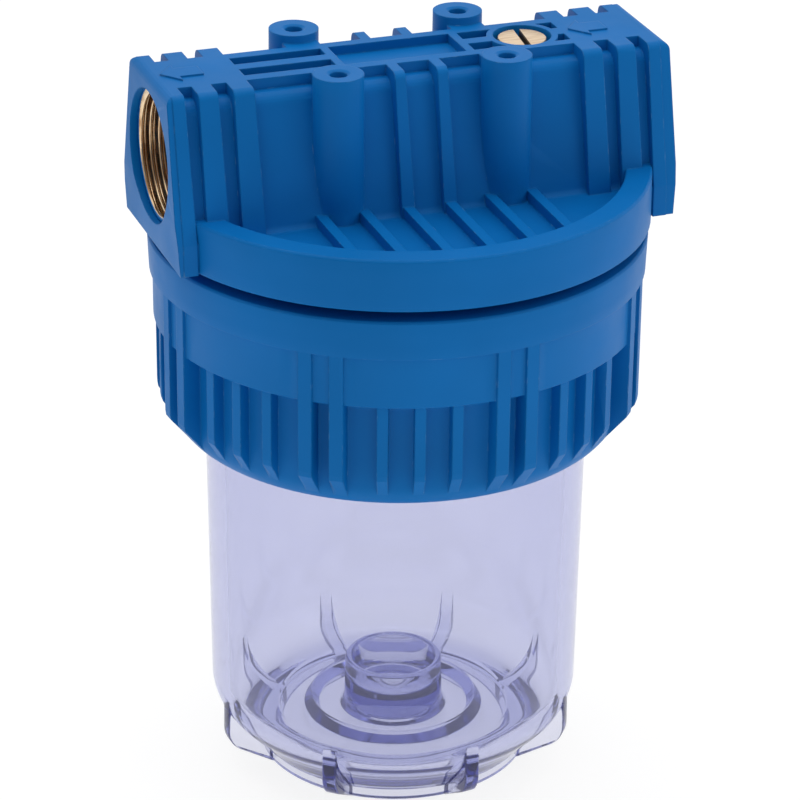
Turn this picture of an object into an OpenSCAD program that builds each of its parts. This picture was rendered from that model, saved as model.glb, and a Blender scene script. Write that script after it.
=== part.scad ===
// Cartridge filter housing in three pieces: a ribbed port head, a threaded
// ring nut and a clear bowl, for a 125 mm (five inch) cartridge.
// Millimetres. +Z is up, +X is the inlet side. The origin is the middle of
// the foot ring's bottom face, and the main axis is Z.

/* [Bowl] */
// Outer radius of the bowl wall just under the ring nut
bowl_r = 48.9; // [48:0.1:49]
// Outer radius of the bowl wall at the top of its rounded bottom
bowl_r_low = 47.9; // [47:0.1:48.4]
// Wall thickness near the rounded bottom
bowl_wall = 4.4; // [3.5:0.1:4.6]
// Height of the bowl's top edge
bowl_top = 118; // [116:0.5:119]
// Number of fins around the foot
fin_count = 8; // [6:1:10]
// Thickness of one fin
fin_t = 3.8; // [3:0.1:5]
// Turn of the first fin from the front, seen from above
fin_phase = 5.5; // [0:0.5:45]
// Outer radius of the cartridge stub
stub_r = 12.65; // [12:0.05:13]
// Height of the cartridge stub's rim
stub_top = 24.9; // [20:0.1:25.5]

/* [Ring nut] */
// Outer radius at the top band
ring_r = 62.7; // [62.5:0.1:63.5]
// Outer radius of the lower band
band_r = 61.5; // [61:0.1:62.2]
// Radius between the grip ribs
valley_r = 57.8; // [57:0.1:58.5]
// Height of the bottom face
ring_z0 = 95; // [94.5:0.1:95]
// Height of the top face
ring_z1 = 147.4; // [146.5:0.1:148]
// Number of rib groups around the nut
rib_groups = 8; // [6:1:8]
// Turn of the first pair of tall ribs from the front, seen from above
rib_phase = 8.3; // [0:0.1:45]

/* [Head] */
// Radius of the head's flange
flange_r = 63.2; // [62.5:0.1:63.5]
// Height of the flange's bottom face
flange_z0 = 150.2; // [150:0.1:151]
// Height of the flange's rim
flange_z1 = 163.2; // [162.5:0.1:164]
// Height of the sunk floor inside the rim
floor_z = 158; // [157.5:0.1:158.5]
// Height of the head's top face
top_z = 193; // [192:0.5:194]
// Half the length of the head at its top face
head_half_l = 64.6; // [63.5:0.1:65]
// How far the end faces stand off centre, towards the inlet
end_shift = 0.6; // [0:0.1:0.6]
// Half the width of the head at its top face
head_half_w = 16; // [15.5:0.1:16.5]
// Depth of the long wall between the end blocks
wall_depth = 3.2; // [2.5:0.1:3.4]
// Depth of the same wall at its foot
wall_foot_depth = 1.9; // [1.5:0.1:2.5]
// Depth of the grooves over the ports
groove_depth = 2.6; // [2:0.1:2.7]
// Depth of the same grooves at their foot
groove_foot_depth = 2; // [1.5:0.1:2.5]
// Height of the port axis
port_z = 172.7; // [172:0.1:173]

/* [Threads] */
// Minor radius of the one inch pipe thread in the ports
port_r = 15.15; // [15:0.05:15.3]
// Radius of the head's skirt under its thread
skirt_r = 52; // [51.5:0.1:52.4]
// Radius of the ring nut's bore under its thread
nut_bore_r = 54.3; // [54.1:0.1:54.6]

/* [Bracket] */
// Distance between screw bosses along X
boss_dx = 43.2; // [42:0.1:44]
// Distance between screw bosses along Y
boss_dy = 34.4; // [34:0.1:36]
// Radius of the screw holes
boss_hole_r = 2.15; // [1.8:0.05:2.4]

/* [Vent] */
// Distance of the vent screw from the main axis
vent_x = 32.3; // [31:0.1:32.5]
// Radius of the vent screw's head
vent_head_r = 6.1; // [5.4:0.1:6.2]

/* [Hidden] */
$fn = 96;
eps = 0.01;
cut = 1;

// Bowl
wall_low_z = 21.6;               // where the straight wall meets the rounded bottom
inner_low_z = 23;                // the same inside
base_z = 6;                      // underside of the bowl floor
bottom_r = 13;                   // radius of the rounded bottom, outside
inner_flat_r = 35;               // where the rounded bottom starts, inside
bowl_floor_z = 11;               // floor around the stub and the seat ridge
bowl_step_r = 30;                // step up to the outer part of the floor
bowl_step = 0.8;
seat_r0 = 19.4;                  // cartridge seat ridge: foot, crest, foot
seat_r = 21.7;
seat_r1 = 23.8;
seat_z = 13.9;
cup_z = 16.3;                    // bottom of the stub's cup
fin_z0 = 0.3;
fin_z1 = 21;
fin_r = 48.1;
fin_corner = 7;
gate_r = 6.4;                    // hollow under the stub
gate_h = 3.7;
foot_r0 = 31.6;
foot_r1 = 35.6;
neck_r = 46.7;
collar_r = 53.8;
collar_z0 = 99.3;
collar_z1 = 109.5;
mouth_r = 43.9;                  // inside radius at the top edge

// Seals
seal_r = 1.75;                   // half the bowl O-ring's section, as squeezed
seal_ring_r = 49;
vent_seal_r = 1;
vent_neck_r = 4.2;

// Ring nut
lip_r = 49.3;
lip_z = 99.25;
band_z = 137.5;                  // bottom of the top band
step_z = 124.4;                  // bottom of the lower band
step_fillet = 2.5;
cone_r = 6.5;                    // rounding of the bottom edge
tall_rib_r = 62.3;
short_rib_r = 60.9;
tall_w = 3.5;
short_w = 2.7;
tall_turn = 3.63;                // half the angle between two tall ribs
short_turn = 8.6;                // angle between short ribs
group_turn = 360 / rib_groups;

// Head
skirt_z = 113;
skirt_in_r = 47;
chamber_r = 46.6;
chamber_z = 152;
seat_tube_r = 24;
nipple_r = 12.6;
nipple_z = 128;
head_seat_z = 138.9;
rim_r = 56.5;
floor_half_w = 23.5;             // half the block's width at floor height
base_half_w = 23.8;
flare_z = 163;                   // where the end faces are furthest apart
flare_half_l = 64.9;
base_half_l = 64.1;
side_slope = (floor_half_w - head_half_w) / (top_z - floor_z);
side_angle = atan(side_slope);
edge_r = 2.1;
core_edge_r = 3.5;
core_drop = 2.7;                 // core top below the top face
floor_fillet = 2;
frame_half_w = 9.57;
end_rib = [59.5, 68];
lip_x = 62.6;
lip_step = 0.25;
second_rib = [51.2, 56];
third_rib = [42.2, 47.3];
rib_draft = 0.45;
rib_pitch = 10.9;                // between the ribs on the flange floor
floor_rib_z = 160.7;
thin_rib = 2.7;
boss_r = 6.2;
boss_foot_r = 6.4;
boss_top = 195;
boss_hole_l = 24;
boss_lead = 0.4;

// Ports and passages
insert_r = 16.95;
insert_x0 = 47.2;
insert_x1 = 62.2;
recess_r = 16.7;
duct_r = 11.5;
inlet_end_x = 17;
outlet_end_x = 9.5;
core_bore_r = 9.5;
drop_x = 35;
drop_r = 9;

// Vent
vent_bore_r = 7.3;
vent_floor_z = 187.6;
vent_face_z = 192.5;
vent_thread_r = 4.05;
vent_shank_r = 4;
vent_tip_z = 181.5;
vent_ring_r = 8.9;
slot_w = 1.6;
slot_d = 2;
slot_turn = 83;

// Top pockets, as [x0, x1, y0, y1, floor] for the +Y side
slot_pocket = [-41.7, -18.4, 1.8, 6.2, 186.5];
small_pocket = [17.3, 28, 1.8, 6.4, 187];
mid_pocket = [-16.3, 15.1, 6.5, 190.7];
tri_floor_z = 187;

function arc(cx, cy, r, a0, a1, n = 6) =
    [for (i = [0:n]) let (a = a0 + (a1 - a0) * i / n) [cx + r * cos(a), cy + r * sin(a)]];
function oval(cx, cy, rx, ry, a0, a1, n = 10) =
    [for (i = [0:n]) let (a = a0 + (a1 - a0) * i / n) [cx + rx * cos(a), cy + ry * sin(a)]];
function flip(points) = [for (i = [len(points) - 1:-1:0]) [-points[i][0], points[i][1]]];
function half_w(z) = head_half_w + (top_z - z) * side_slope;

// ---- bowl ----

function stub_outline() = concat(
    [[0, cup_z], [4.8, cup_z + 0.3], [7.2, cup_z + 1], [9.1, cup_z + 2.6], [9.8, cup_z + 4],
     [10.9, stub_top - 0.8]],
    arc(stub_r - 0.8, stub_top - 0.8, 0.8, 150, 20, 4),
    [[stub_r, stub_top - 1.2], [stub_r + 0.25, 13.6], [14.2, 12.4], [14.5, bowl_floor_z]]);

module bowl_body() {
    rotate_extrude()
        polygon(concat(
            stub_outline(),
            [[seat_r0, bowl_floor_z], [seat_r - 0.3, seat_z], [seat_r + 0.2, seat_z],
             [seat_r1, bowl_floor_z], [bowl_step_r, bowl_floor_z],
             [bowl_step_r + bowl_step, bowl_floor_z + bowl_step]],
            oval(inner_flat_r, inner_low_z, bowl_r_low - bowl_wall - inner_flat_r,
                 inner_low_z - bowl_floor_z - bowl_step, -90, 0),
            [[mouth_r, bowl_top - 0.5], [mouth_r + 0.5, bowl_top],
             [neck_r - 0.5, bowl_top], [neck_r, bowl_top - 0.5],
             [neck_r, collar_z1], [collar_r - 0.4, collar_z1],
             [collar_r, collar_z1 - 0.4], [collar_r, collar_z0 + 0.4],
             [collar_r - 0.4, collar_z0], [bowl_r, collar_z0]],
            arc(bowl_r_low - bottom_r, wall_low_z, bottom_r, 0, -45, 8),
            [[foot_r1 + 0.2, 3.4]],
            arc(foot_r1 - 1, 1, 1, 0, -90, 4),
            [[foot_r0 + 0.5, 0], [foot_r0, 0.5], [foot_r0 - 0.4, base_z], [gate_r, base_z]],
            arc(gate_r - 1.3, base_z + gate_h - 1, 1, 0, 90, 4),
            [[0, base_z + gate_h]]));
}

module fin() {
    rotate([90, 0, 0])
        linear_extrude(fin_t, center = true)
            polygon(concat(
                [[34, 5], [34, fin_z0], [foot_r1, fin_z0]],
                arc(fin_r - fin_corner, 11.9, fin_corner, -59, 0, 8),
                [[bowl_r_low, fin_z1], [45.6, fin_z1], [44.9, 17], [42.6, 13],
                 [40, 10.4], [36, 7]]));
}

module bowl() {
    color([0.75, 0.77, 0.89, 0.45]) {
        union() {
            bowl_body();
            for (i = [0:fin_count - 1])
                rotate(-90 + fin_phase + i * 360 / fin_count) fin();
        }
    }
}

module bowl_seal() {
    color([0.08, 0.08, 0.09])
        rotate_extrude()
            translate([seal_ring_r, collar_z1 + seal_r]) circle(seal_r);
}

// ---- ring nut ----

module nut_body() {
    rotate_extrude()
        polygon(concat(
            [[lip_r, ring_z0 + 0.4], [lip_r + 0.4, ring_z0]],
            arc(valley_r - cone_r, ring_z0 + cone_r, cone_r, -90, 0, 8),
            arc(valley_r + step_fillet, step_z - step_fillet, step_fillet, 180, 90, 4),
            [[band_r - 0.3, step_z], [band_r, step_z + 0.3], [band_r, band_z - 0.2],
             [ring_r - 0.35, band_z], [ring_r, ring_z1 - 0.5], [ring_r - 0.5, ring_z1],
             [nut_bore_r + 1, ring_z1], [nut_bore_r, ring_z1 - 1],
             [nut_bore_r, lip_z], [lip_r, lip_z]]));
}

module grip_rib(r, w, z1) {
    rotate([90, 0, 0])
        linear_extrude(w, center = true)
            polygon([[55.4, 98], [55.8, 96.9], [r - 0.2, 104.6], [r, 106], [r, z1], [56, z1]]);
}

module ring_nut() {
    color([0.11, 0.40, 0.68])
        union() {
            nut_body();
            for (g = [0:rib_groups - 1])
                rotate(-90 + rib_phase + g * group_turn) {
                    for (s = [-1, 1])
                        rotate(s * tall_turn) grip_rib(tall_rib_r, tall_w, band_z + 0.3);
                    for (s = [-1:1])
                        rotate(group_turn / 2 + s * short_turn)
                            grip_rib(short_rib_r, short_w, step_z + 0.3);
                }
        }
}

// ---- head ----

// Sides, top and rounded edges of the port block, seen along X
module block_outline(inset, z1, r, foot) {
    zc = z1 - r;
    yc = half_w(zc) - inset - r / cos(side_angle);
    side = concat(foot, arc(yc, zc, r, side_angle, 90));
    polygon(concat(side, flip(side)));
}

module along_x(l) {
    rotate([90, 0, 90]) linear_extrude(l, center = true) children();
}

module along_y(l) {
    rotate([90, 0, 0]) linear_extrude(l, center = true) children();
}

// The block with its ribs at full height, set back a little at both ends
module block_envelope() {
    foot = [[base_half_w, flange_z0], [floor_half_w, floor_z]];
    along_x(2 * lip_x) block_outline(0, top_z, edge_r, foot);
    along_x(2 * flare_half_l + 2 * cut)
        block_outline(lip_step, top_z, edge_r, [for (p = foot) [p[0] - lip_step, p[1]]]);
}

module block_core(half_l, depth, foot_depth) {
    yf = half_w(floor_z + floor_fillet) - foot_depth + floor_fillet / cos(side_angle);
    along_x(2 * half_l)
        block_outline(depth, top_z - core_drop, core_edge_r,
                      concat([[yf, chamber_z]],
                             arc(yf, floor_z + floor_fillet, floor_fillet,
                                 -90, -180 + side_angle)));
}

// Rib with draft, from x0 to x1 at the top face and wider below
module drafted_rib(x0, x1) {
    along_y(4 * head_half_w)
        polygon([[x0 - rib_draft, flange_z0], [x1 + rib_draft, flange_z0],
                 [x1, top_z + cut], [x0, top_z + cut]]);
}

module end_shape() {
    r = 2;
    side = concat([[base_half_l, flange_z0], [flare_half_l, flare_z]],
                  arc(head_half_l - r, top_z - r, r, 3, 90, 4));
    translate([end_shift, 0, 0]) along_y(4 * head_half_w) polygon(concat(side, flip(side)));
}

module port_block() {
    intersection() {
        end_shape();
        union() {
            block_core(third_rib[0] + cut, wall_depth, wall_foot_depth);
            difference() {
                block_core(end_rib[0] + cut, groove_depth, groove_foot_depth);
                cube([2 * third_rib[0] + cut, 4 * head_half_w, 2 * top_z + cut], center = true);
            }
            translate([-end_rib[0], -frame_half_w, port_z])
                cube([2 * end_rib[0], 2 * frame_half_w, top_z - port_z]);
            intersection() {
                block_envelope();
                union() {
                    for (s = [-1, 1], rib = [end_rib, second_rib, third_rib])
                        drafted_rib(s > 0 ? rib[0] : -rib[1], s > 0 ? rib[1] : -rib[0]);
                    for (k = [-0.5, 0.5])
                        translate([k * rib_pitch, 0, 0])
                            drafted_rib(-thin_rib / 2, thin_rib / 2);
                }
            }
        }
    }
}

// Flange, threaded skirt, chamber wall and cartridge nipple
module turned_part() {
    rotate_extrude()
        polygon(concat(
            [[0, floor_z], [rim_r - 1.6, floor_z]],
            arc(rim_r - 1.6, floor_z + 1.2, 1.2, -90, -10, 3),
            [[rim_r, flange_z1 - 0.3], [rim_r + 0.3, flange_z1],
             [flange_r - 0.6, flange_z1], [flange_r - 0.1, flange_z1 - 0.5],
             [flange_r, flange_z0 + 0.4], [flange_r - 0.4, flange_z0],
             [skirt_r, flange_z0], [skirt_r, skirt_z + 0.6], [skirt_r - 0.6, skirt_z],
             [skirt_in_r, skirt_z], [skirt_in_r, skirt_z + 7],
             [chamber_r, skirt_z + 7.4], [chamber_r, chamber_z - 2]],
            arc(chamber_r - 2, chamber_z - 2, 2, 0, 90, 4),
            [[seat_tube_r + 1, chamber_z], [seat_tube_r, head_seat_z],
             [seat_tube_r - 2, head_seat_z], [seat_tube_r - 3, head_seat_z + 2],
             [nipple_r, head_seat_z + 2], [nipple_r, nipple_z + 1],
             [nipple_r - 1, nipple_z], [0, nipple_z]]));
}

module floor_ribs() {
    for (k = [-2.5:1:2.5]) {
        x = k * rib_pitch;
        reach = sqrt(pow((rim_r + flange_r) / 2, 2) - x * x);
        translate([x - thin_rib / 2, -reach, floor_z - cut])
            cube([thin_rib, 2 * reach, floor_rib_z - floor_z + cut]);
    }
}

module at_bosses() {
    for (sx = [-1, 1], sy = [-1, 1])
        translate([sx * boss_dx / 2, sy * boss_dy / 2, 0]) children();
}

module bosses() {
    at_bosses()
        translate([0, 0, floor_z - cut])
            cylinder(r1 = boss_foot_r, r2 = boss_r, h = boss_top - floor_z + cut);
    for (sx = [-1, 1])
        translate([sx * boss_dx / 2 - 4.4, -boss_dy / 2, port_z])
            cube([8.8, boss_dy, top_z - port_z]);
}

module boss_holes() {
    at_bosses()
        rotate_extrude()
            polygon([[0, boss_top - boss_hole_l], [boss_hole_r, boss_top - boss_hole_l],
                     [boss_hole_r, boss_top - boss_lead], [boss_hole_r + 2 * boss_lead, boss_top],
                     [boss_hole_r + 2 * boss_lead, boss_top + cut], [0, boss_top + cut]]);
}

// Arrow that points to -X, with its tip at x
module flow_arrow(x, shaft_end) {
    translate([0, 0, top_z - 0.3])
        linear_extrude(0.7)
            polygon([[x, 0], [x + 4.2, -5.4], [x + 4.2, -2.9], [shaft_end, -2.9],
                     [shaft_end, 2.9], [x + 4.2, 2.9], [x + 4.2, 5.4]]);
}

module pocket(p) {
    for (s = [0, 1])
        mirror([0, s, 0])
            translate([p[0], p[2], p[4]])
                cube([p[1] - p[0], p[3] - p[2], top_z - p[4] + cut]);
}

module top_pockets() {
    pocket(slot_pocket);
    difference() {
        union() {
            pocket(small_pocket);
            for (s = [0, 1])
                mirror([0, s, 0])
                    translate([0, 0, tri_floor_z])
                        linear_extrude(top_z - tri_floor_z + cut)
                            polygon([[36, 6.6], [42.6, 6.6], [42.6, 2.2], [36, 2.2]]);
        }
        translate([vent_x, 0, tri_floor_z - cut]) cylinder(r = vent_ring_r, h = 2 * top_z);
    }
    translate([mid_pocket[0], -mid_pocket[2], mid_pocket[3]])
        cube([mid_pocket[1] - mid_pocket[0], 2 * mid_pocket[2], top_z - mid_pocket[3] + cut]);
}

module x_bore(r, x0, x1) {
    translate([min(x0, x1), 0, port_z]) rotate([0, 90, 0]) cylinder(r = r, h = abs(x1 - x0));
}

module passages() {
    for (s = [-1, 1]) {
        x_bore(recess_r, s * insert_x1, s * (flare_half_l + 2 * cut));
        x_bore(insert_r, s * insert_x0, s * insert_x1);
    }
    x_bore(duct_r, inlet_end_x, insert_x0 + eps);
    x_bore(duct_r, -insert_x0 - eps, outlet_end_x);
    translate([0, 0, nipple_z - cut]) cylinder(r = core_bore_r, h = port_z - nipple_z + cut);
    translate([drop_x, 0, chamber_z - cut]) cylinder(r = drop_r, h = port_z - chamber_z + cut);
}

module vent_bore() {
    translate([vent_x, 0, vent_floor_z])
        cylinder(r = vent_bore_r, h = top_z - vent_floor_z + cut);
    translate([vent_x, 0, port_z]) cylinder(r = vent_thread_r, h = vent_floor_z - port_z + cut);
}

module head() {
    color([0.11, 0.40, 0.68])
        difference() {
            union() {
                turned_part();
                port_block();
                floor_ribs();
                bosses();
                flow_arrow(-61, -50.8);
                flow_arrow(44.5, 54);
            }
            top_pockets();
            passages();
            vent_bore();
            boss_holes();
        }
}

module port_insert() {
    color([0.80, 0.62, 0.28])
        difference() {
            x_bore(insert_r, insert_x0, insert_x1);
            x_bore(port_r, insert_x0 - cut, insert_x1 + cut);
        }
}

module inlet_insert() {
    port_insert();
}

module outlet_insert() {
    mirror([1, 0, 0]) port_insert();
}

// ---- vent ----

module vent_screw() {
    color([0.84, 0.68, 0.40])
        translate([vent_x, 0, 0])
            difference() {
                rotate_extrude()
                    polygon([[0, vent_tip_z], [vent_shank_r - 1, vent_tip_z],
                             [vent_shank_r, vent_tip_z + 1],
                             [vent_shank_r, vent_floor_z + 2 * vent_seal_r],
                             [vent_head_r, vent_floor_z + 2 * vent_seal_r],
                             [vent_head_r, vent_face_z - 0.3],
                             [vent_head_r - 0.3, vent_face_z], [0, vent_face_z]]);
                rotate(slot_turn)
                    translate([-vent_head_r - cut, -slot_w / 2, vent_face_z - slot_d])
                        cube([2 * (vent_head_r + cut), slot_w, slot_d + cut]);
            }
}

module vent_seal() {
    color([0.08, 0.08, 0.09])
        translate([vent_x, 0, vent_floor_z + vent_seal_r])
            rotate_extrude()
                translate([vent_neck_r + vent_seal_r, 0]) circle(vent_seal_r, $fn = 32);
}

head();
inlet_insert();
outlet_insert();
vent_screw();
vent_seal();
ring_nut();
bowl();
bowl_seal();
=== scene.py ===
"""Looks of a cartridge filter housing: camera, light, materials and the detailed pieces."""
import math

import bmesh
import bpy
from mathutils import Matrix, Vector


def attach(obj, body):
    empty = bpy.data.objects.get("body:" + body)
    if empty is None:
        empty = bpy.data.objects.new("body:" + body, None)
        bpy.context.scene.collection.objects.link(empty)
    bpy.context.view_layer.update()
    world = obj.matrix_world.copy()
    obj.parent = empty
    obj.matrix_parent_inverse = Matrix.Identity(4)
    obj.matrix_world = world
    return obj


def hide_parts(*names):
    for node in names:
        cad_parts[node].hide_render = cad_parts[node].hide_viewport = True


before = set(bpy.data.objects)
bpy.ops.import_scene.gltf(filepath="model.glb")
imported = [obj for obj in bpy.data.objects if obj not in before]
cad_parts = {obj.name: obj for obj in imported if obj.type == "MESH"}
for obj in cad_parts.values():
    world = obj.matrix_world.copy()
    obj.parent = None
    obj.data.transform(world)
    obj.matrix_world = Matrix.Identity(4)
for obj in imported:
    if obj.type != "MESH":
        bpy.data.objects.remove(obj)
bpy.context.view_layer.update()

MM = 0.001
TURN = 2 * math.pi

# sizes shared with the CAD nodes, in millimetres
PORT_Z = 172.7
INSERT_FACE_X = 62.2
INSERT_LENGTH = 15.0
INSERT_R = 16.95
VENT_X = 32.3
VENT_FACE_Z = 192.5
VENT_FLOOR_Z = 187.6
THREAD_PITCH = 6

SHARP = 32          # edges that bend by more than this many degrees stay sharp
BLUE = (0.001, 0.142, 0.44, 1)


# ---- outlines and meshes ----

def arc(cx, cz, rx, rz, a0, a1, n):
    """Points of an ellipse arc from angle a0 to a1 in degrees, in n steps."""
    angles = [math.radians(a0 + (a1 - a0) * i / n) for i in range(n + 1)]
    return [(cx + rx * math.cos(a), cz + rz * math.sin(a)) for a in angles]


def add_object(name, data):
    """Puts a new object with this data into the scene."""
    obj = bpy.data.objects.new(name, data)
    bpy.context.scene.collection.objects.link(obj)
    return obj


def shade(mesh, sharp):
    """Smooth shading, but not over edges that bend by more than sharp degrees."""
    mesh.shade_smooth()
    mesh.set_sharp_from_angle(angle=math.radians(sharp))


def solid(verts, faces, sharp=SHARP):
    """A closed mesh object from points in millimetres, welded, with its normals outwards."""
    mesh = bpy.data.meshes.new("piece")
    bm = bmesh.new()
    points = [bm.verts.new(Vector(v) * MM) for v in verts]
    for f in faces:
        bm.faces.new([points[i] for i in f])
    bmesh.ops.remove_doubles(bm, verts=bm.verts, dist=1e-7)
    loose = [e for e in bm.edges if not e.link_faces]
    bmesh.ops.delete(bm, geom=loose, context="EDGES")
    bmesh.ops.recalc_face_normals(bm, faces=bm.faces)
    if bm.calc_volume(signed=True) < 0:
        bmesh.ops.reverse_faces(bm, faces=bm.faces)
    bm.to_mesh(mesh)
    bm.free()
    shade(mesh, sharp)
    return add_object("piece", mesh)


def revolve(outline, steps, sharp=SHARP):
    """Turns a closed outline of (radius, height) about Z. outline can be a function of the angle."""
    at = outline if callable(outline) else lambda angle: outline
    verts, count = [], len(at(0))
    for s in range(steps):
        a = TURN * s / steps
        verts += [(r * math.cos(a), r * math.sin(a), z) for r, z in at(a)]
    faces = []
    for s in range(steps):
        here, there = s * count, (s + 1) % steps * count
        for i in range(count):
            j = (i + 1) % count
            faces.append((here + i, there + i, there + j, here + j))
    return solid(verts, faces, sharp)


def thread(side, z0, z1):
    """A right-hand thread ridge from z0 to z1. It sinks to its foot's radius at both ends.

    side lists (radius, half width) from the ridge's foot to its crest.
    """
    steps_per_turn, fade, least = 96, 0.35, 0.02
    profile = [(r, -half) for r, half in side] + [(r, half) for r, half in reversed(side)]
    turns = (z1 - z0) / THREAD_PITCH
    total = int(turns * steps_per_turn)
    verts, faces, count = [], [], len(profile)
    base = profile[0][0]
    for s in range(total + 1):
        t = turns * s / total
        grow = min(1, max(least, t / fade), max(least, (turns - t) / fade))
        a = TURN * t
        for r, z in profile:
            r = base + (r - base) * grow
            verts.append((r * math.cos(a), r * math.sin(a), z0 + THREAD_PITCH * t + z))
    for s in range(total):
        for i in range(count):
            j = (i + 1) % count
            faces.append((s * count + i, (s + 1) * count + i, (s + 1) * count + j, s * count + j))
    faces += [tuple(range(count)), tuple(total * count + i for i in reversed(range(count)))]
    return solid(verts, faces)


def prism(outline, width, turn, edge=0.0):
    """An upright plate, turned about Z: outline in (x, z), width along Y, edges rounded by a bevel."""
    n = len(outline)
    verts = [(x, -width / 2, z) for x, z in outline] + [(x, width / 2, z) for x, z in outline]
    faces = [tuple(range(n)), tuple(reversed(range(n, 2 * n)))]
    faces += [(i, n + i, n + (i + 1) % n, (i + 1) % n) for i in range(n)]
    obj = solid(verts, faces, 60)
    if edge:
        tiny = 1e-7
        bm = bmesh.new()
        bm.from_mesh(obj.data)
        sides = [e for e in bm.edges
                 if all(abs(abs(v.co.y) - width / 2 * MM) < tiny for v in e.verts)
                 and abs(e.verts[0].co.y - e.verts[1].co.y) < tiny]
        bmesh.ops.bevel(bm, geom=sides, offset=edge * MM, segments=3, profile=0.5, affect="EDGES")
        bm.to_mesh(obj.data)
        bm.free()
    obj.data.transform(Matrix.Rotation(math.radians(turn), 4, "Z"))
    return obj


def ridge_height(z, angle, pitch, gap, flank):
    """How far a right-hand thread's ridge stands at a height and an angle, from 0 to 1."""
    along = (z / pitch - angle / TURN) % 1
    return min(1, max(0, (1 - abs(2 * along - 1) - gap) / flank))


def move(obj, x):
    """Shifts an object's mesh along X, in millimetres."""
    obj.data.transform(Matrix.Translation(Vector((x, 0, 0)) * MM))
    return obj


def combine(target, others, operation="UNION"):
    """Joins other solids to target, or cuts them from it, and removes them."""
    for other in others:
        mod = target.modifiers.new("combine", "BOOLEAN")
        mod.operation, mod.solver, mod.object = operation, "MANIFOLD", other
    bpy.context.view_layer.update()
    done = bpy.data.meshes.new_from_object(target.evaluated_get(bpy.context.evaluated_depsgraph_get()))
    target.modifiers.clear()
    target.data = done
    for other in others:
        bpy.data.objects.remove(other)
    shade(done, SHARP)
    return target


def finish_piece(obj, name, body, material, replaces=None):
    """Names a piece, gives it its material, hangs it on its body, and hides the CAD node it replaces.
    """
    obj.name = obj.data.name = name
    obj.data.materials.clear()
    obj.data.materials.append(material)
    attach(obj, body)
    if replaces:
        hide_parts(replaces)


# ---- materials ----

class Shader:
    """A material with one Principled shader, and short calls to add nodes to it."""

    def __init__(self, name, **values):
        self.material = bpy.data.materials.new(name)
        self.material.use_nodes = True
        self.tree = self.material.node_tree
        self.base = self.tree.nodes["Principled BSDF"]
        self.out = self.tree.nodes["Material Output"]
        for key, value in values.items():
            self.base.inputs[key.replace("_", " ")].default_value = value
        self.place = self.node("ShaderNodeTexCoord").outputs["Object"]

    def node(self, kind, inputs=(), **settings):
        """Adds a node. inputs maps sockets to values or to other sockets."""
        n = self.tree.nodes.new(kind)
        for key, value in settings.items():
            setattr(n, key, value)
        for key, value in dict(inputs).items():
            if isinstance(value, bpy.types.NodeSocket):
                self.tree.links.new(value, n.inputs[key])
            else:
                n.inputs[key].default_value = value
        return n

    def noise(self, scale, detail=3.0, stretch=None):
        at = self.place
        if stretch:
            at = self.node("ShaderNodeVectorMath", {0: at, 1: stretch}, operation="MULTIPLY").outputs[0]
        return self.node("ShaderNodeTexNoise",
                         {"Vector": at, "Scale": scale, "Detail": detail}).outputs["Fac"]

    def remap(self, value, low, high, to_low, to_high):
        """Maps low..high to to_low..to_high, and stops at both ends."""
        return self.node("ShaderNodeMapRange",
                         {"Value": value, "From Min": low, "From Max": high,
                          "To Min": to_low, "To Max": to_high}).outputs["Result"]

    def mix(self, factor, a, b):
        n = self.node("ShaderNodeMix", data_type="RGBA")
        for socket, value in ((n.inputs[0], factor), (n.inputs[6], a), (n.inputs[7], b)):
            if isinstance(value, bpy.types.NodeSocket):
                self.tree.links.new(value, socket)
            else:
                socket.default_value = value
        return n.outputs[2]

    def use(self, name, value):
        """Drives an input of the Principled shader."""
        self.tree.links.new(value, self.base.inputs[name])

    def bump(self, height, distance, strength, normal=None):
        """A normal from a height. distance is in millimetres."""
        n = self.node("ShaderNodeBump", {"Height": height, "Distance": distance * MM,
                                         "Strength": strength})
        if normal:
            self.tree.links.new(normal, n.inputs["Normal"])
        return n.outputs["Normal"]


def blue_plastic():
    """Satin plastic, slightly uneven in colour, with soft edges that carry a painted highlight: a
    lighter blue in patches along them.
    """
    s = Shader("blue_plastic", Specular_IOR_Level=0.1, IOR=1.49)
    # the second colour is the lighter blue of the painted edge highlight
    light, edge_highlight_blue = (0.002, 0.158, 0.49, 1), (0.16, 0.36, 0.62, 1)
    colour = s.mix(s.remap(s.noise(26), 0.35, 0.65, 0, 1), BLUE, light)
    soft = s.node("ShaderNodeBevel", {"Radius": 0.5 * MM}, samples=6).outputs["Normal"]
    plain = s.node("ShaderNodeNewGeometry").outputs["Normal"]
    bend = s.node("ShaderNodeVectorMath", {0: soft, 1: plain},
                  operation="DOT_PRODUCT").outputs["Value"]
    # painted highlight: a lighter blue laid on in patches where the edges round off
    edge = s.remap(bend, 0.995, 0.86, 0, 1)
    highlight_patches = s.remap(s.noise(330, 5), 0.56, 0.72, 0, 0.5)
    painted_edge_highlight = s.node("ShaderNodeMath", {0: edge, 1: highlight_patches}, operation="MULTIPLY").outputs[0]
    s.use("Base Color", s.mix(painted_edge_highlight, colour, edge_highlight_blue))
    s.use("Roughness", s.remap(s.noise(90, 4), 0.3, 0.7, 0.40, 0.50))
    grain = s.bump(s.noise(2600, 2), 0.012, 0.5, soft)
    s.use("Normal", s.bump(s.noise(45, 2), 0.12, 0.3, grain))
    return s.material


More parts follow.
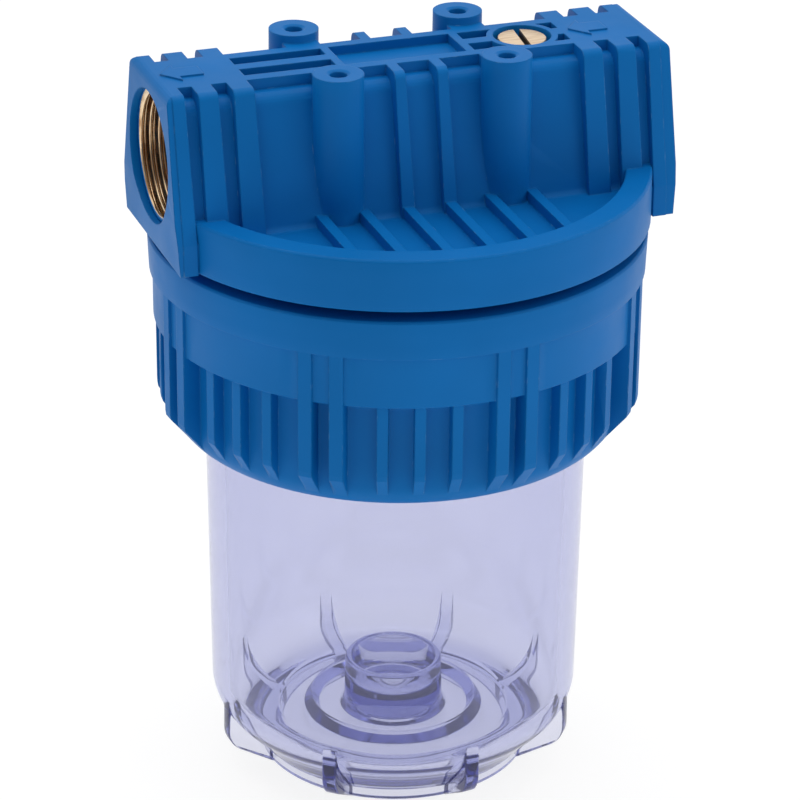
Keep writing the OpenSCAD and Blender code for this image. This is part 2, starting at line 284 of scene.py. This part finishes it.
def clear_plastic():
    """Clear plastic with a violet tint in its depth, a faint veil and small scuffs."""
    s = Shader("clear_plastic", Base_Color=(1, 1, 1, 1), IOR=1.57, Transmission_Weight=1.0)
    s.use("Normal", s.bump(s.noise(30, 1), 0.05, 0.5))
    s.use("Roughness", s.remap(s.noise(700, 6), 0.66, 0.74, 0.0, 0.25))
    tint = s.node("ShaderNodeVolumeAbsorption", {"Color": (0.0, 0.07, 0.66, 1), "Density": 46.0})
    s.tree.links.new(tint.outputs[0], s.out.inputs["Volume"])
    haze = s.node("ShaderNodeBsdfTranslucent", {"Color": (0.56, 0.56, 0.95, 1)})
    veil = s.node("ShaderNodeMixShader", {0: 0.06, 1: s.base.outputs[0], 2: haze.outputs[0]})
    s.tree.links.new(veil.outputs[0], s.out.inputs["Surface"])
    return s.material


def brass(name, colour, dark_reflection, rough, along, paint_over):
    """Brass with painted dark reflection bands in its colour and a fine grain bump, both stretched by
    along.

    The last argument is (axis, where it starts, where it is full, colour), in millimetres from the
    origin: across that band the colour is painted over the brass, which is then not metal.
    """
    s = Shader(name)
    axis, start, full, paint_over_colour = paint_over
    # painted reflection: stretched noise bands that mix the brass towards a dark tone
    painted_reflection_bands = s.remap(s.noise(140, 4, along), 0.42, 0.62, 0, 1)
    # paints the given colour over the brass across the band, without metal
    place = s.node("ShaderNodeSeparateXYZ", {0: s.place}).outputs[axis]
    across = s.node("ShaderNodeMath", {0: place}, operation="ABSOLUTE").outputs[0]
    painted_over = s.remap(across, start * MM, full * MM, 0, 1)
    s.use("Base Color", s.mix(painted_over, s.mix(painted_reflection_bands, colour, dark_reflection), paint_over_colour))
    s.use("Metallic", s.remap(painted_over, 0, 1, 1, 0))
    s.use("Roughness", s.remap(s.noise(500, 3), 0.3, 0.7, rough, rough + 0.12))
    s.use("Normal", s.bump(s.noise(1500, 2, along), 0.01, 0.5))
    return s.material


def rubber():
    s = Shader("black_rubber", Base_Color=(0.012, 0.012, 0.013, 1), Roughness=0.55)
    s.use("Normal", s.bump(s.noise(1800, 3), 0.02, 0.5))
    return s.material


# ---- pieces ----

def bowl_outline():
    """Section of the bowl: inside first, then over the mouth and down the outside."""
    lip = 0.86
    stub = ([(0, 16.3), (2.6, 16.4), (4.8, 16.65), (7.2, 17.35), (8.6, 18.2), (9.4, 19.3), (9.8, 20.4)]
            + arc(12.65 - lip, 24.04, lip, lip, 180, 0, 10)
            + [(12.9, 14.2)] + arc(14.3, 12.1, 1.3, 0.75, 180, 240, 4) + [(14.0, 11.1), (14.4, 11)])
    seat_ridge = [(19.2, 11), (19.6, 11.15), (21.3, 13.7), (21.6, 13.9), (21.9, 13.7), (23.5, 11.15),
                  (23.9, 11)]
    floor_step = [(29.8, 11), (30.1, 11.1), (30.5, 11.7), (30.8, 11.8)]
    inner_wall = arc(35, 23, 8.5, 11.2, -90, 0, 16) + [(43.9, 117.3)]
    mouth = arc(44.5, 117.4, 0.6, 0.6, 180, 90, 4) + arc(46.1, 117.4, 0.6, 0.6, 90, 0, 4)
    collar = ([(46.7, 109.9), (47.1, 109.5)] + arc(53.3, 109, 0.5, 0.5, 90, 0, 4)
              + arc(53.3, 99.8, 0.5, 0.5, 0, -90, 4) + [(49.1, 99.3), (48.9, 99.0)])
    outer_wall = arc(34.9, 21.6, 13, 13, 0, -45, 12)
    foot_ring = ([(36.1, 3.7), (35.75, 3.1), (35.6, 1)] + arc(34.6, 1, 1, 1, 0, -90, 5)
                 + arc(32.2, 0.6, 0.6, 0.6, -90, -180, 4))
    underside = ([(31.3, 5.4), (30.7, 6), (6.7, 6), (6.4, 6.3)] + arc(5.1, 8.7, 1, 1, 0, 90, 5)
                 + [(0, 9.7)])
    inside = stub + seat_ridge + floor_step + inner_wall
    return inside + mouth + collar + outer_wall + foot_ring + underside


def fin_outline():
    """Side view of a fin: foot, rounded outer corner, and the edge that is buried in the bowl."""
    return ([(34, 5), (34, 0.3), (35.6, 0.3)] + arc(41, 11.9, 7, 7, -59, 0, 8)
            + [(47.92, 20.8), (45.6, 20.8), (44.9, 17), (42.6, 13), (40, 10.4), (36, 7)])


def make_bowl():
    """The turned bowl with its eight fins joined on."""
    count, first, width, edge = 8, -84.5, 3.8, 0.45
    fins = [prism(fin_outline(), width, first + 360 / count * i, edge) for i in range(count)]
    return combine(revolve(bowl_outline(), 256), fins)


def insert_outline(angle):
    """Section of a port insert with a one inch pipe thread, from its outer face inwards."""
    pitch, crest, root, steps, edge = 2.309, 15.15, 16.62, 84, 0.25
    mouth_r, back_r, back_slope = 15.5, 15.9, 1.2
    inner = []
    for i in range(steps + 1):
        z = INSERT_LENGTH * i / steps
        ramp = ridge_height(z, angle, pitch, 0.12, 0.76)
        groove = ramp * ramp * (3 - 2 * ramp) * 0.5 + ramp * 0.5
        mouth = mouth_r - z
        back = back_r - (INSERT_LENGTH - z) * back_slope
        inner.append((min(root, max(crest + (root - crest) * groove, mouth, back)), z))
    return inner + [(INSERT_R - edge, INSERT_LENGTH), (INSERT_R, INSERT_LENGTH - edge),
                    (INSERT_R, edge), (INSERT_R - edge, 0)]


def make_insert(side):
    """side is 1 for the inlet at +X and -1 for the outlet. Both keep a right-hand thread."""
    insert = revolve(insert_outline, 144, 50)
    turn = Matrix.Rotation(math.radians(-90 * side), 4, "Y")
    outer = Vector((side * INSERT_FACE_X, 0, PORT_Z)) * MM
    insert.data.transform(Matrix.Translation(outer) @ turn)
    return insert


def make_vent_screw():
    """The slotted vent screw: threaded shank, neck for the O-ring and flat head."""
    crest, root, pitch, steps = 4.0, 3.35, 1.25, 60
    tip_z, tip_r, tip_edge = 181.5, 2.7, 0.9
    neck_r, neck_z, neck_edge = 3.9, VENT_FLOOR_Z + 2, 0.4
    head_r, under_edge, top_edge = 6.1, 0.2, 0.35
    slot_width, slot_depth, slot_turn, past = 1.6, 2, 83, 1
    thread_z, thread_gap, run_in = tip_z + tip_edge, 0.6, 0.8

    def section(angle):
        shank = []
        for i in range(steps + 1):
            z = thread_z + (VENT_FLOOR_Z - thread_gap - thread_z) * i / steps
            ridge = ridge_height(z, angle, pitch, 0.1, 0.75)
            fade = min(1, (z - thread_z) / run_in)
            shank.append((root + (crest - root) * ridge * fade, z))
        return ([(0, tip_z), (tip_r, tip_z)] + shank
                + [(root, VENT_FLOOR_Z), (neck_r, VENT_FLOOR_Z + neck_edge), (neck_r, neck_z)]
                + [(head_r - under_edge, neck_z), (head_r, neck_z + under_edge)]
                + arc(head_r - top_edge, VENT_FACE_Z - top_edge, top_edge, top_edge, 0, 90, 4)
                + [(0, VENT_FACE_Z)])

    half = head_r + past
    low, high = VENT_FACE_Z - slot_depth, VENT_FACE_Z + past
    slot = prism([(-half, low), (half, low), (half, high), (-half, high)], slot_width, slot_turn)
    screw = combine(revolve(section, 96, 40), [slot], "DIFFERENCE")
    return move(screw, VENT_X)


def make_ring(ring_r, r, z, steps, flash=0.0):
    """An O-ring. flash is the height of the mould line round its inside and outside."""
    flash_width, points = 0.06, 48
    section = []
    for i in range(points):
        a = TURN * i / points
        bulge = r + flash * math.exp(-(math.sin(a) / flash_width) ** 2)
        section.append((ring_r + bulge * math.cos(a), z + r * math.sin(a)))
    return revolve(section, steps, 60)


def soften(node, width):
    """Rounds the sharp edges of a CAD node."""
    node.modifiers.new("weld", "WELD").merge_threshold = 0.02 * MM
    bevel = node.modifiers.new("edges", "BEVEL")
    bevel.width = width * MM
    bevel.segments = 2
    bevel.limit_method = "ANGLE"
    bevel.angle_limit = math.radians(34)
    bevel.use_clamp_overlap = True


blue = blue_plastic()
clear = clear_plastic()
# painted reflection: the port inserts' outer faces are painted plain blue for the blue plastic they
# reflect
# the second colour of each brass is the dark tone of its painted reflection bands
port_brass = brass("port_brass", (0.86, 0.66, 0.43, 1), (0.50, 0.30, 0.16, 1), 0.14, (6, 1, 1),
                   ("X", INSERT_FACE_X - 0.1, INSERT_FACE_X - 0.05, BLUE))
# below its top face, its slot included, the vent screw is nearly black and not metal
vent_brass = brass("vent_brass", (0.88, 0.70, 0.50, 1), (0.74, 0.54, 0.36, 1), 0.3, (1, 8, 1),
                   ("Z", VENT_FACE_Z - 0.2, VENT_FACE_Z - 0.7, (0.03, 0.02, 0.015, 1)))
black = rubber()

for node in ("head", "ring_nut"):
    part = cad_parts[node]
    part.data.materials.clear()
    part.data.materials.append(blue)
    soften(part, 0.35)

finish_piece(make_bowl(), "bowl_clear", "bowl", clear, "bowl")
for side, end in ((1, "inlet"), (-1, "outlet")):
    finish_piece(make_insert(side), end + "_thread_insert", "head", port_brass, end + "_insert")
finish_piece(make_vent_screw(), "vent_plug", "vent_screw", vent_brass, "vent_screw")
finish_piece(move(make_ring(5.2, 1.0, VENT_FLOOR_Z + 1, 96), VENT_X),
             "vent_o_ring", "vent_seal", black, "vent_seal")
finish_piece(make_ring(49, 1.75, 111.25, 192, 0.03),
             "bowl_o_ring", "bowl", black, "bowl_seal")
finish_piece(thread([(51.8, 2.1), (53.5, 1.1), (53.8, 0.7)], 116.5, 145),
             "head_thread", "head", blue)
finish_piece(thread([(54.5, 2.0), (52.7, 1.0), (52.5, 0.7)], 113.5, 142),
             "ring_thread", "ring_nut", blue)


# ---- camera, floor and light ----

def make_camera():
    """Looks at a point on the main axis from the front left, a little above, with a slight roll."""
    azimuth, elevation, roll = math.radians(-19.86), math.radians(25.15), math.radians(0.57)
    distance, target = 921.5 * MM, Vector((0, 0, 100 * MM))
    back = Vector((math.sin(azimuth) * math.cos(elevation),
                   -math.cos(azimuth) * math.cos(elevation), math.sin(elevation)))
    right = Vector((math.cos(azimuth), math.sin(azimuth), 0))
    up = back.cross(right)
    tilted_right = right * math.cos(roll) + up * math.sin(roll)
    tilted_up = up * math.cos(roll) - right * math.sin(roll)
    data = bpy.data.cameras.new("camera")
    data.sensor_width = 36
    data.lens = 162.0
    data.shift_x = 0.0052
    data.shift_y = -0.0096
    camera = add_object("camera", data)
    turn = Matrix((tilted_right, tilted_up, back)).transposed()
    camera.matrix_world = Matrix.Translation(target + back * distance) @ turn.to_4x4()
    bpy.context.scene.camera = camera


def make_floor():
    """A pale floor that glows like a light table, just under the foot ring."""
    mesh = bpy.data.meshes.new("floor")
    half, z = 8.0, -0.0005
    corners = [(-half, -half, z), (half, -half, z), (half, half, z), (-half, half, z)]
    mesh.from_pydata(corners, [], [(0, 1, 2, 3)])
    floor = add_object("floor", mesh)
    glow = Shader("floor", Base_Color=(0.2, 0.2, 0.2, 1), Roughness=0.8, Specular_IOR_Level=0.1,
                  Emission_Color=(1, 1, 1, 1), Emission_Strength=0.86)
    floor.data.materials.append(glow.material)


def area(name, at, to, size, watts):
    """A soft lamp at one place that faces another."""
    data = bpy.data.lights.new(name, "AREA")
    data.shape = "RECTANGLE"
    data.size, data.size_y = size
    data.energy = watts
    lamp = add_object(name, data)
    lamp.location = at
    lamp.rotation_mode = "QUATERNION"
    lamp.rotation_quaternion = (Vector(at) - Vector(to)).to_track_quat("Z", "Y")


def make_world():
    """White at the back and on the right, and darker towards the front left."""
    world = bpy.data.worlds.new("studio")
    world.use_nodes = True
    nodes, links = world.node_tree.nodes, world.node_tree.links
    side = nodes.new("ShaderNodeVectorMath")
    side.operation = "DOT_PRODUCT"
    side.inputs[1].default_value = (0.6, 0.8, 0)
    links.new(nodes.new("ShaderNodeTexCoord").outputs["Generated"], side.inputs[0])
    fall = nodes.new("ShaderNodeMapRange")
    fall.interpolation_type = "SMOOTHSTEP"
    for key, value in (("From Min", -0.7), ("From Max", 0.05), ("To Min", 0.33), ("To Max", 0.86)):
        fall.inputs[key].default_value = value
    links.new(side.outputs["Value"], fall.inputs["Value"])
    background = nodes["Background"]
    background.inputs["Color"].default_value = (1, 1, 1, 1)
    links.new(fall.outputs["Result"], background.inputs["Strength"])
    bpy.context.scene.world = world


make_camera()
make_floor()
make_world()
bpy.context.scene.view_settings.view_transform = "Standard"
area("top", (-0.05, 0.1, 0.95), (0, 0, 0.15), (0.8, 0.6), 2.4)
area("right", (0.75, -0.65, 0.75), (0, 0, 0.12), (0.35, 0.5), 0.6)
